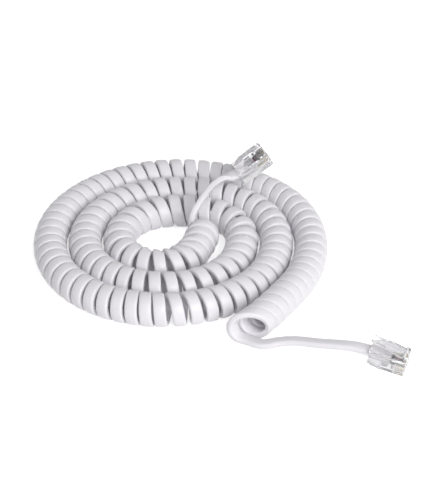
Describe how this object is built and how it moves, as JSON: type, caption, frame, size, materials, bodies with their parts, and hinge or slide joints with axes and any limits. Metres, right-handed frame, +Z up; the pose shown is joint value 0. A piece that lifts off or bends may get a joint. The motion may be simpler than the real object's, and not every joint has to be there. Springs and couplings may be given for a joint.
{
  "type": "coiled telephone handset cord",
  "caption": "White curly handset cord laid in a flat spiral, with a straight flat tail and a clear modular plug with a springy latch on each end.",
  "frame": {"origin": "on the floor, under the middle of the whole object's box", "axes": "+Z up; +X to the right of someone looking from the side of the plug that lies free, along the longest extent; +Y away from them"},
  "size_m": [0.1194, 0.1122, 0.0253],
  "materials": {
    "cord_jacket": "smooth, semi-gloss",
    "clear_plug": "clear, polished",
    "contact_gold": "polished, gold flashed",
    "insulation_black": "smooth",
    "insulation_red": "smooth",
    "insulation_green": "smooth",
    "insulation_yellow": "smooth"
  },
  "bodies": {
    "cord": {"curly_cord": "cord_jacket", "front_tail": "cord_jacket", "rear_tail": "cord_jacket", "front_housing": "clear_plug", "front_jacket_anchor": "clear_plug", "front_wire_anchor": "clear_plug", "front_contact_1": "contact_gold", "front_contact_2": "contact_gold", "front_contact_3": "contact_gold", "front_contact_4": "contact_gold", "front_wire_black": "insulation_black", "front_wire_red": "insulation_red", "front_wire_green": "insulation_green", "front_wire_yellow": "insulation_yellow", "rear_housing": "clear_plug", "rear_jacket_anchor": "clear_plug", "rear_wire_anchor": "clear_plug", "rear_contact_1": "contact_gold", "rear_contact_2": "contact_gold", "rear_contact_3": "contact_gold", "rear_contact_4": "contact_gold", "rear_wire_black": "insulation_black", "rear_wire_red": "insulation_red", "rear_wire_green": "insulation_green", "rear_wire_yellow": "insulation_yellow"},
    "front_latch": {"front_latch": "clear_plug"},
    "rear_latch": {"rear_latch": "clear_plug"}
  },
  "joints": [
    {"name": "front_latch_press", "type": "hinge", "parent": "cord", "child": "front_latch", "pos_m": [0.05723, -0.05206, 0.00577], "axis": [-0.342, -0.9397, 0], "range_deg": [0, 11], "stiffness_Nm_per_rad": 0.1},
    {"name": "rear_latch_press", "type": "hinge", "parent": "cord", "child": "rear_latch", "pos_m": [0.01696, 0.03855, 0.01911], "axis": [-0.4943, 0.8363, 0.2374], "range_deg": [0, 11], "stiffness_Nm_per_rad": 0.1}
  ]
}
